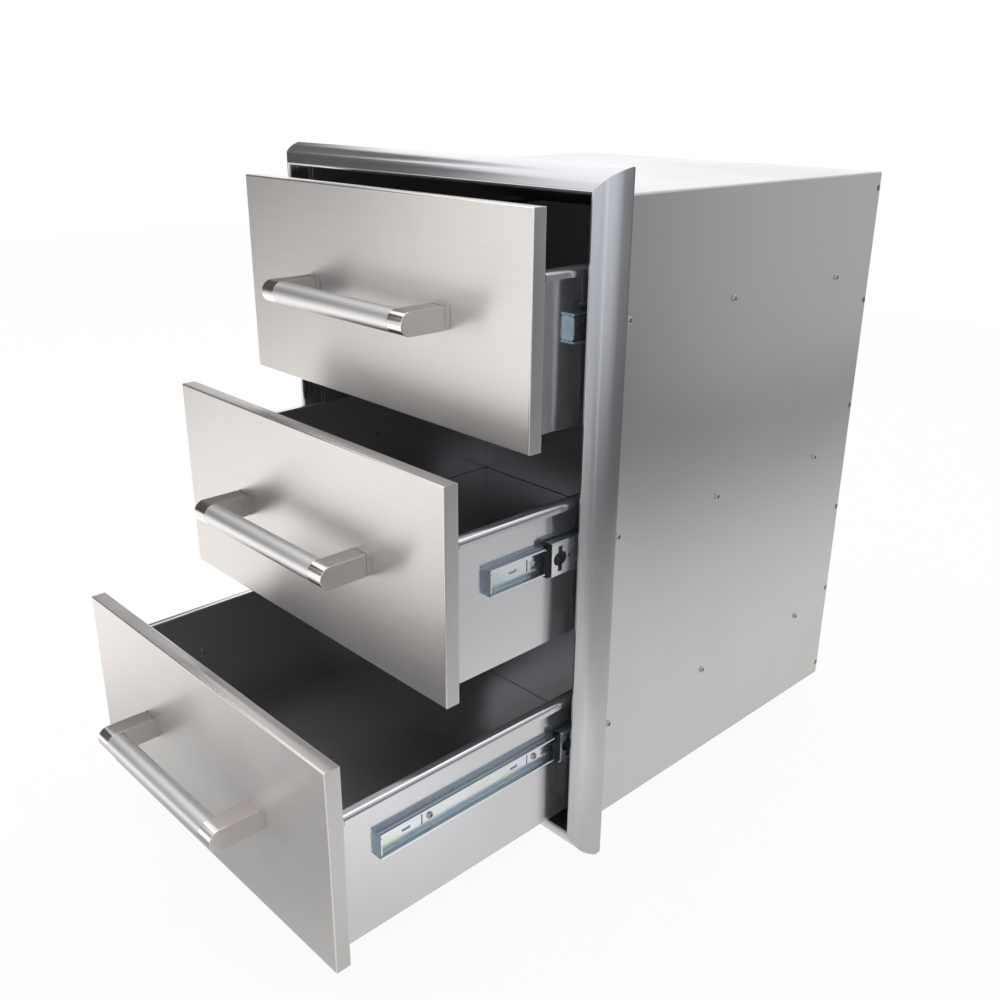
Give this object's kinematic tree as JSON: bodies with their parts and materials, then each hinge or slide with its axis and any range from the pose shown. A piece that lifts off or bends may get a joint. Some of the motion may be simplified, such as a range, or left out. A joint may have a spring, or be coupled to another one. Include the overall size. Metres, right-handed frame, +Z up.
{
  "type": "outdoor kitchen drawer unit",
  "caption": "Built-in stainless drawer cabinet with a rolled, mitred face frame and bar-handled drawers on ball-bearing slides, pulled out in steps.",
  "frame": {"origin": "centre of the box in the plane of the face frame's back flange, where the unit meets the face of the kitchen island", "axes": "+X to the right seen from the front, +Y into the island towards the box's back, +Z up; the drawers open towards -Y"},
  "size_m": [0.4812, 0.8188, 0.6814],
  "materials": {
    "frame_steel": "fine lengthwise brushing, satin",
    "box_steel": "smooth mill finish with faint sheet marks",
    "front_steel": "fine horizontal brushing, satin",
    "tub_steel": "bright mill finish",
    "handle_tube_steel": "fine turned satin",
    "handle_post_steel": "blasted satin",
    "slide_zinc": "clear zinc plating, faintly iridescent",
    "guide_plastic": "moulded, matt",
    "cage_steel": "oiled steel strip and polished balls",
    "screw_steel": "plain stainless"
  },
  "bodies": {
    "housing": {"frame_top_rail": "frame_steel", "frame_bottom_rail": "frame_steel", "frame_left_stile": "frame_steel", "frame_right_stile": "frame_steel", "shell_wrap": "box_steel", "shell_floor": "box_steel", "shell_back": "box_steel", "cabinet_screws": "screw_steel", "top_cabinet_member_right": "slide_zinc", "top_cabinet_member_left": "slide_zinc", "middle_cabinet_member_right": "slide_zinc", "middle_cabinet_member_left": "slide_zinc", "bottom_cabinet_member_right": "slide_zinc", "bottom_cabinet_member_left": "slide_zinc"},
    "top_carriers": {"top_carrier_right": "slide_zinc", "top_carrier_left": "slide_zinc", "top_carrier_bumpers": "guide_plastic"},
    "top_drawer": {"top_front_pan": "front_steel", "top_front_liner": "tub_steel", "top_tub": "tub_steel", "top_tub_back": "tub_steel", "top_handle_tube": "handle_tube_steel", "top_handle_post_right": "handle_post_steel", "top_handle_post_left": "handle_post_steel", "top_drawer_screws": "screw_steel", "top_drawer_member_right": "slide_zinc", "top_drawer_member_left": "slide_zinc"},
    "top_outer_cages": {"top_outer_ball_cages": "cage_steel"},
    "top_inner_cages": {"top_inner_ball_cages": "cage_steel"},
    "middle_carriers": {"middle_carrier_right": "slide_zinc", "middle_carrier_left": "slide_zinc", "middle_carrier_bumpers": "guide_plastic"},
    "middle_drawer": {"middle_front_pan": "front_steel", "middle_front_liner": "tub_steel", "middle_tub": "tub_steel", "middle_tub_back": "tub_steel", "middle_handle_tube": "handle_tube_steel", "middle_handle_post_right": "handle_post_steel", "middle_handle_post_left": "handle_post_steel", "middle_drawer_screws": "screw_steel", "middle_drawer_member_right": "slide_zinc", "middle_drawer_member_left": "slide_zinc"},
    "middle_outer_cages": {"middle_outer_ball_cages": "cage_steel"},
    "middle_inner_cages": {"middle_inner_ball_cages": "cage_steel"},
    "bottom_carriers": {"bottom_carrier_right": "slide_zinc", "bottom_carrier_left": "slide_zinc", "bottom_carrier_bumpers": "guide_plastic"},
    "bottom_drawer": {"bottom_front_pan": "front_steel", "bottom_front_liner": "tub_steel", "bottom_tub": "tub_steel", "bottom_tub_back": "tub_steel", "bottom_handle_tube": "handle_tube_steel", "bottom_handle_post_right": "handle_post_steel", "bottom_handle_post_left": "handle_post_steel", "bottom_drawer_screws": "screw_steel", "bottom_drawer_member_right": "slide_zinc", "bottom_drawer_member_left": "slide_zinc"},
    "bottom_outer_cages": {"bottom_outer_ball_cages": "cage_steel"},
    "bottom_inner_cages": {"bottom_inner_ball_cages": "cage_steel"}
  },
  "joints": [
    {"name": "top_carriers_slide", "type": "slide", "parent": "housing", "child": "top_carriers", "axis": [0, -1, 0], "range_m": [-0.0296, 0.1404]},
    {"name": "top_drawer_slide", "type": "slide", "parent": "top_carriers", "child": "top_drawer", "axis": [0, -1, 0], "range_m": [-0.0297, 0.2003]},
    {"name": "top_outer_cages_roll", "type": "slide", "parent": "housing", "child": "top_outer_cages", "axis": [0, -1, 0], "range_m": [-0.0148, 0.0702]},
    {"name": "top_inner_cages_roll", "type": "slide", "parent": "top_carriers", "child": "top_inner_cages", "axis": [0, -1, 0], "range_m": [-0.01485, 0.10015]},
    {"name": "middle_carriers_slide", "type": "slide", "parent": "housing", "child": "middle_carriers", "axis": [0, -1, 0], "range_m": [-0.0765, 0.0935]},
    {"name": "middle_drawer_slide", "type": "slide", "parent": "middle_carriers", "child": "middle_drawer", "axis": [0, -1, 0], "range_m": [-0.0779, 0.1521]},
    {"name": "middle_outer_cages_roll", "type": "slide", "parent": "housing", "child": "middle_outer_cages", "axis": [0, -1, 0], "range_m": [-0.03825, 0.04675]},
    {"name": "middle_inner_cages_roll", "type": "slide", "parent": "middle_carriers", "child": "middle_inner_cages", "axis": [0, -1, 0], "range_m": [-0.03895, 0.07605]},
    {"name": "bottom_carriers_slide", "type": "slide", "parent": "housing", "child": "bottom_carriers", "axis": [0, -1, 0], "range_m": [-0.0565, 0.1135]},
    {"name": "bottom_drawer_slide", "type": "slide", "parent": "bottom_carriers", "child": "bottom_drawer", "axis": [0, -1, 0], "range_m": [-0.2248, 0.0052]},
    {"name": "bottom_outer_cages_roll", "type": "slide", "parent": "housing", "child": "bottom_outer_cages", "axis": [0, -1, 0], "range_m": [-0.02825, 0.05675]},
    {"name": "bottom_inner_cages_roll", "type": "slide", "parent": "bottom_carriers", "child": "bottom_inner_cages", "axis": [0, -1, 0], "range_m": [-0.1124, 0.0026]}
  ],
  "couplings": [
    {"joint": "top_outer_cages_roll", "follows": "top_carriers_slide", "ratio": 0.5},
    {"joint": "top_inner_cages_roll", "follows": "top_drawer_slide", "ratio": 0.5},
    {"joint": "middle_outer_cages_roll", "follows": "middle_carriers_slide", "ratio": 0.5},
    {"joint": "middle_inner_cages_roll", "follows": "middle_drawer_slide", "ratio": 0.5},
    {"joint": "bottom_outer_cages_roll", "follows": "bottom_carriers_slide", "ratio": 0.5},
    {"joint": "bottom_inner_cages_roll", "follows": "bottom_drawer_slide", "ratio": 0.5}
  ]
}
